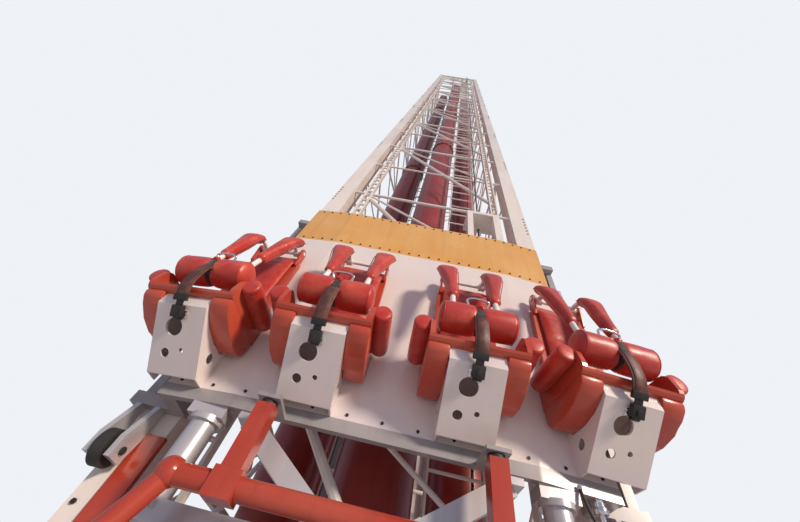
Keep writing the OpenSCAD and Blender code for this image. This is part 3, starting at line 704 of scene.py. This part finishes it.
pad_form = puffed(pad_shape(), voxel=0.006, reach=0.007)
roller_form = puffed(roller_shape(), voxel=0.008, reach=0.006)
welt = pad_welt()
roller_welts = [
    tubed([roller_point(x, roller_welt_r, a) for a in turns(48, closed=True)], welt_r, welt_sides)
    for x in (-roller_welt_x, roller_welt_x)]
for k in seat_numbers:
    spot, bar = seat_at(k), f"lap_bar_{k}"
    both = [spot @ Matrix.Diagonal((side, 1, 1, 1)) for side in (-1, 1)]
    pads = gathered(f"shoulder_pads_{k}", [moved(pad_form, there) for there in both],
                    vinyl, bar, smooth=60)
    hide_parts(f"harness_{k}")
    roller = gathered(f"lap_roller_{k}", placed(spot, roller_form), vinyl, bar,
                      smooth=60)
    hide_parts(f"harness_{k}")
    welts = [moved(welt, there) for there in both] + placed(spot, *roller_welts)
    gathered(f"pad_welts_{k}", welts, vinyl, bar, smooth=60)


# ---------------------------------------------------------------- upholstery
# Foam cushions in the same red cloth lie on each seat's pan and back, and a
# round cover with a capped front end goes over each of its two side bolsters.
def cushion_shape(centre, across, along, width, length, thick, crown):
    """A crowned pad on the plane of across and along, drawn in between its corners."""
    centre, across, along = Vector(centre), Vector(across), Vector(along)
    out = across.cross(along)
    cells, plump = 26, 5.0
    row = cells + 1
    points, faces = [], []
    for layer in (1, -1):
        for j in range(row):
            for i in range(row):
                a, b = -1 + 2 * i / cells, -1 + 2 * j / cells
                a, b = math.copysign(abs(a) ** 0.8, a), math.copysign(abs(b) ** 0.8, b)
                rim = (1 - abs(a) ** plump) * (1 - abs(b) ** plump)
                u = a * (width / 2) * (1 - 0.035 * (1 - b * b))
                v = b * (length / 2) * (1 - 0.025 * (1 - a * a))
                lift = layer * (thick / 2) * rim ** 0.45
                if layer > 0:
                    channel = 0.004 * math.exp(-(math.sin(b * math.pi * 1.5) / 0.10) ** 2)
                    lift += (crown - channel) * rim
                points.append(centre + across * u + along * v + out * lift)
    for j in range(cells):
        for i in range(cells):
            a = j * row + i
            corners = (a, a + 1, a + row + 1, a + row)
            faces.append(corners)
            faces.append(tuple(row * row + corner for corner in reversed(corners)))
    return points, faces


bolster_x, bolster_z, bolster_tall = 0.318, 0.100, 1.02
bolster_profile = (
    (-0.062, 0.030), (-0.064, 0.050), (-0.075, 0.0565), (-0.14, 0.058), (-0.22, 0.0585),
    (-0.30, 0.058), (-0.372, 0.0575), (-0.3765, 0.0560), (-0.380, 0.0575), (-0.398, 0.0565),
    (-0.406, 0.0525), (-0.4095, 0.0460), (-0.4125, 0.0250), (-0.4135, 0.0030))


def bolster_shape(x):
    """A side bolster's cover with a rounded front cap behind a sewn seam."""
    return lofted([[Vector((x + r * math.cos(a), y, bolster_z + bolster_tall * r * math.sin(a)))
                    for a in turns(36)] for y, r in bolster_profile])


back_form = puffed(cushion_shape((0, -0.062, 0.53), (1, 0, 0), (0, 0, 1), width=0.385,
                                 length=0.65, thick=0.036, crown=0.008), voxel=0.009, reach=0.008)
pan_form = puffed(cushion_shape((0, -0.232, 0.016), (-1, 0, 0), (0, -1, 0), width=0.465,
                                length=0.365, thick=0.032, crown=0.006), voxel=0.009, reach=0.008)
bolster_pair = [bolster_shape(-bolster_x), bolster_shape(bolster_x)]
for k in seat_numbers:
    spot = seat_at(k)
    covers = gathered(f"bolster_covers_{k}", placed(spot, *bolster_pair), vinyl, "carriage",
                      smooth=60)
    back_pad = gathered(f"back_cushion_{k}", placed(spot, back_form), vinyl, "carriage",
                        smooth=60)
    pan_pad = gathered(f"seat_cushion_{k}", placed(spot, pan_form), vinyl, "carriage",
                       smooth=60)

# ---------------------------------------------------------------- straps
# A black woven strap goes once round each roller's waist under a steel grab
# bar and a red release catch; a broad padded tongue hangs from it to a buckle,
# whose short strap is riveted to the pedestal's slope under the pan.
webbing, tree, shader = blank_finish("black_webbing")
place = object_place(tree)
weave = []
for direction, scale in (("X", 190.0), ("DIAGONAL", 130.0)):
    wave = tree.nodes.new("ShaderNodeTexWave")
    wave.bands_direction = direction
    wave.inputs["Scale"].default_value = scale
    wave.inputs["Distortion"].default_value = 0.6
    tree.links.new(place, wave.inputs["Vector"])
    weave.append(wave.outputs["Fac"])
threads = multiplied(tree, weave[0], weave[1])
dusty = ranged(tree, noise_of(tree, place, 11.0, 5), 0.45, 0.7)
tree.links.new(mixed(tree, multiplied(tree, dusty, 0.5), (0.012, 0.011, 0.012, 1),
                     (0.055, 0.045, 0.040, 1)), shader.inputs["Base Color"])
tree.links.new(ranged(tree, threads, 0.0, 1.0, 0.85, 0.6), shader.inputs["Roughness"])
tree.links.new(relief_of(tree, threads, 0.6, 0.0008), shader.inputs["Normal"])
shader.inputs["Sheen Weight"].default_value = 0.3

tongue, tree, shader = blank_finish("brown_coated_cloth")
place = object_place(tree)
worn = ranged(tree, noise_of(tree, place, 13.0, 6, 0.65), 0.42, 0.68)
tree.links.new(mixed(tree, worn, (0.085, 0.030, 0.022, 1), (0.19, 0.075, 0.055, 1)),
               shader.inputs["Base Color"])
tree.links.new(ranged(tree, worn, 0.0, 1.0, 0.42, 0.62), shader.inputs["Roughness"])
tree.links.new(relief_of(tree, noise_of(tree, place, 34.0, 5), 0.4, 0.003),
               shader.inputs["Normal"])

chrome = painted("polished_steel", (0.74, 0.73, 0.73), (0.30, 0.25, 0.22), (0.82, 0.81, 0.81),
                 streaks=0.1, fading_and_reflection=0.4, chips=0.1, gloss=(0.10, 0.22), coat=0.0, metal=1.0,
                 bump=0.04)
catch_red = painted("release_catch_red", (0.50, 0.02, 0.014), (0.2, 0.02, 0.015),
                    (0.62, 0.08, 0.05), streaks=0.1, fading_and_reflection=0.3, chips=0.3, gloss=(0.25, 0.4))


def edges_broken(form, round_off):
    """A sharp form's points and faces with its edges broken; the form is used up."""
    bmesh.ops.bevel(form, geom=form.edges[:], offset=round_off, segments=2, affect="EDGES",
                    profile=0.5)
    form.verts.index_update()
    result = [v.co.copy() for v in form.verts], [[v.index for v in f.verts] for f in form.faces]
    form.free()
    return result


def slabbed(low, high, round_off):
    """A block with its edges broken."""
    form = bmesh.new()
    bmesh.ops.create_cube(form, size=1.0)
    for vertex in form.verts:
        vertex.co = [low[i] + (vertex.co[i] + 0.5) * (high[i] - low[i]) for i in range(3)]
    return edges_broken(form, round_off)


def banded(path, width, thick, across):
    """A flat belt along a path: across is the direction of its width."""
    across = Vector(across).normalized()
    rings = []
    for point, along in with_directions(path):
        face = along.cross(across).normalized()
        rings.append([point + across * (width / 2 * a) + face * (thick / 2 * b)
                      for a, b in ((-1, -0.6), (-0.94, -1), (0.94, -1), (1, -0.6),
                                   (1, 0.6), (0.94, 1), (-0.94, 1), (-1, 0.6))])
    return lofted(rings)


def around_roller(first, last, r, steps):
    """Points round the roller's axis; angles from straight up, forwards, in degrees."""
    return [Vector((0, roller_y - r * math.sin(a), roller_z + r * math.cos(a)))
            for a in (math.radians(first + (last - first) * i / steps) for i in range(steps + 1))]


def eased(path, steps):
    """A smooth line through points."""
    path = [Vector(p) for p in path]
    result = []
    for k in range(len(path) - 1):
        a, b = path[k], path[k + 1]
        before, after = path[max(k - 1, 0)], path[min(k + 2, len(path) - 1)]
        for i in range(steps):
            t = i / steps
            result.append(0.5 * (2 * a + (b - before) * t
                                 + (2 * before - 5 * a + 4 * b - after) * t * t
                                 + (3 * a - before - 3 * b + after) * t ** 3))
    return result + [path[-1]]


sideways = Vector((1, 0, 0))
strap_w, strap_t, tongue_w, tongue_t = 0.046, 0.006, 0.078, 0.011
padding_w, padding_t, padding_off = 0.054, 0.007, Vector((0, -0.007, 0))
buckle_at, buckle_tilt = (0, -0.418, -0.088), math.radians(45)
anchor_at, slope_tilt = (0, -0.380, -0.098), math.radians(50.9)
waist_strap = [
    banded(around_roller(0, 355, 0.0825, 46), strap_w, strap_t, sideways),
    banded(around_roller(35, 150, 0.0885, 20), 0.040, 0.005, sideways),
    slabbed((-0.026, -0.474, 0.158), (0.026, -0.452, 0.192), 0.004)]
release_catch = [
    slabbed((-0.021, -0.474, 0.232), (0.021, -0.444, 0.262), 0.006),
    slabbed((-0.013, -0.481, 0.238), (0.013, -0.470, 0.256), 0.004)]
grab_bar = [
    tubed(eased([(-0.052, -0.395, 0.283), (-0.060, -0.412, 0.318), (-0.068, -0.428, 0.338),
                 (-0.040, -0.436, 0.348), (0, -0.438, 0.350), (0.040, -0.436, 0.348),
                 (0.068, -0.428, 0.338), (0.060, -0.412, 0.318), (0.052, -0.395, 0.283)], 6),
          0.0075),
    slabbed((-0.066, -0.418, 0.276), (-0.038, -0.380, 0.290), 0.003),
    slabbed((0.038, -0.418, 0.276), (0.066, -0.380, 0.290), 0.003)]
hang = eased([(0, -0.463, 0.165), (0, -0.474, 0.120), (0, -0.476, 0.050), (0, -0.470, -0.005),
              (0, -0.452, -0.045), (0, -0.430, -0.075)], 8)
crotch_strap = [
    banded(hang, tongue_w, tongue_t, sideways),
    banded([p + padding_off for p in hang[2:-2]], padding_w, padding_t, sideways)]
strap_tongue = [
    slabbed((-0.042, -0.012, -0.010), (0.042, 0.010, 0.030), 0.005),
    slabbed((-0.022, -0.004, -0.040), (0.022, 0.003, -0.008), 0.0015)]
pan_buckle = [
    slabbed((-0.034, -0.016, -0.104), (0.034, 0.014, -0.036), 0.006),
    slabbed((-0.014, -0.022, -0.092), (0.014, -0.014, -0.060), 0.003)]
strap_anchor = [
    slabbed((-0.046, -0.007, -0.070), (0.046, 0.001, -0.030), 0.002),
    tubed([(-0.036, -0.006, -0.050), (-0.036, -0.016, -0.050)], 0.011, 6),
    tubed([(0.036, -0.006, -0.050), (0.036, -0.016, -0.050)], 0.011, 6)]
pan_strap = eased([(0, -0.026, -0.058), (0, -0.025, -0.074), (0, -0.014, -0.082),
                   (0, -0.006, -0.070), (0, -0.005, -0.048)], 6)
for k in seat_numbers:
    spot, bar = seat_at(k), f"lap_bar_{k}"
    buckled = spot @ Matrix.Translation(buckle_at) @ Matrix.Rotation(buckle_tilt, 4, "X")
    slope = spot @ Matrix.Translation(anchor_at) @ Matrix.Rotation(slope_tilt, 4, "X")
    gathered(f"waist_strap_{k}", placed(spot, *waist_strap), webbing, bar,
             smooth=50)
    gathered(f"release_catch_{k}", placed(spot, *release_catch), catch_red, bar)
    gathered(f"grab_bar_{k}", placed(spot, *grab_bar), chrome, bar)
    gathered(f"crotch_strap_{k}", placed(spot, *crotch_strap), tongue, bar,
             smooth=50)
    gathered(f"strap_tongue_{k}", placed(buckled, *strap_tongue), black_steel, bar)
    gathered(f"pan_buckle_{k}", placed(buckled, *pan_buckle), black_steel, "carriage")
    gathered(f"strap_anchor_{k}", placed(slope, *strap_anchor), chrome, "carriage")
    gathered(f"pan_strap_{k}",
             [banded([slope @ p for p in pan_strap], strap_w, strap_t, spot.to_3x3() @ sideways)],
             webbing, "carriage", smooth=50)


# ---------------------------------------------------------------- shell bottoms
# Below each pan the moulded shell swells down on either side of its pedestal
# to the body, and the end seats' pedestals flare out to their pans' edges.
def plated(outline, x0, x1, round_off):
    """A plate with broken edges: an outline of (y, z) points between two places across."""
    form = bmesh.new()
    near = [form.verts.new((x0, y, z)) for y, z in outline]
    far = [form.verts.new((x1, y, z)) for y, z in outline]
    n = len(outline)
    form.faces.new(near)
    form.faces.new(list(reversed(far)))
    for i in range(n):
        form.faces.new((near[i], far[i], far[(i + 1) % n], near[(i + 1) % n]))
    return edges_broken(form, round_off)


skirt = [(-0.006, -0.020), (-0.400, -0.020), (-0.406, -0.040), (-0.392, -0.070),
         (-0.345, -0.104), (-0.260, -0.136), (-0.160, -0.156), (-0.085, -0.160),
         (-0.040, -0.150), (-0.012, -0.120)]
skirt_w, skirt_round, skirt_places = 0.124, 0.012, (-0.280, 0.156)
flare_in, flare_out, flare_top, flare_lip = 0.154, 0.262, -0.030, 0.018
for row, first in (("front", 1), ("back", 5)):
    gathered(f"seat_skirts_{row}", [moved(plated(skirt, x, x + skirt_w, skirt_round), seat_at(k))
                                    for k in range(first, first + 4) for x in skirt_places],
             shell, "carriage")
    flares = []
    for k, side in ((first + 2, -1), (first + 3, 1)):
        rings = [[Vector((side * x, y, z)) for x, z in (
            (flare_in, low), (flare_in, flare_top), (flare_out, flare_top),
            (flare_out, flare_top - flare_lip))]
            for y, low in ((-0.012, -0.30), (-0.20, -0.235), (-0.345, -0.115))]
        flares.append(moved(lofted(rings), seat_at(k)))
    gathered(f"pedestal_flares_{row}", flares, body_white, "carriage")


# ---------------------------------------------------------------- dampers
# Beside the right leg of each row a chromed damper with a black gaiter stands
# between the bottom beam and a pin on the wheel bracket; a short stiff air
# hose runs from its foot back up to a fitting under the beam.
def ringed(profile, sides=28):
    """A turned part: (radius, height) pairs round an upright axis."""
    return lofted([[Vector((r * math.cos(a), r * math.sin(a), z)) for a in turns(sides)]
                   for r, z in profile])


damper_foot, lean_back, lean_out = (1.17, -1.665, 2.44), math.radians(7), math.radians(-5)
stood = (Matrix.Translation(damper_foot) @ Matrix.Rotation(lean_back, 4, "X")
         @ Matrix.Rotation(lean_out, 4, "Y"))
gaiter = [(0.026 + 0.007 * (step % 2), 0.062 + 0.0085 * step) for step in range(9)]
damper = placed(
    stood,
    ringed([(0.006, 0.0), (0.028, 0.001), (0.030, 0.006), (0.030, 0.052), (0.026, 0.060)]
           + gaiter + [(0.020, 0.140), (0.006, 0.141)]),
    tubed([(-0.022, 0, -0.012), (0.022, 0, -0.012)], 0.024, 20))
pin = [stood @ Vector((-0.030, 0, -0.012)), stood @ Vector((0.040, 0, -0.012)),
       (1.30, -1.585, 2.47), (1.352, -1.560, 2.475)]
damper_rod = placed(
    stood,
    ringed([(0.004, 0.130), (0.013, 0.131), (0.013, 0.190), (0.034, 0.192), (0.036, 0.196),
            (0.036, 0.216), (0.034, 0.220), (0.030, 0.221), (0.030, 0.240), (0.004, 0.241)]),
    slabbed((-0.018, -0.018, 0.236), (0.018, 0.018, 0.268), 0.004)) + [tubed(pin, 0.009)]
hose_r, fitting_r, fitting_length = 0.008, 0.012, 0.012
hose_line = eased([stood @ Vector((0, -0.034, 0.030)), stood @ Vector((0.0, -0.075, 0.028)),
                   (1.135, -1.752, 2.475), (1.080, -1.775, 2.520), (1.048, -1.778, 2.590),
                   (1.042, -1.765, 2.650), (1.042, -1.745, 2.702)], 5)
for row, there in (("front", Matrix.Identity(4)), ("back", half_turn)):
    gathered(f"damper_{row}", placed(there, *damper), black_steel, "carriage",
             smooth=35)
    gathered(f"damper_rod_{row}", placed(there, *damper_rod), chrome, "carriage",
             smooth=35)
    route = [there @ p for p in hose_line]
    hose = gathered(f"air_hose_{row}", [tubed(route, hose_r)], rubber, "carriage")
    back_step = (route[0] - route[1]).normalized() * fitting_length
    gathered(f"hose_fittings_{row}", [
        tubed([route[0] + back_step, route[1]], fitting_r, 6),
        tubed([route[-2], route[-1] + Vector((0, 0, fitting_length))], fitting_r, 6)],
        chrome, "carriage", smooth=30)
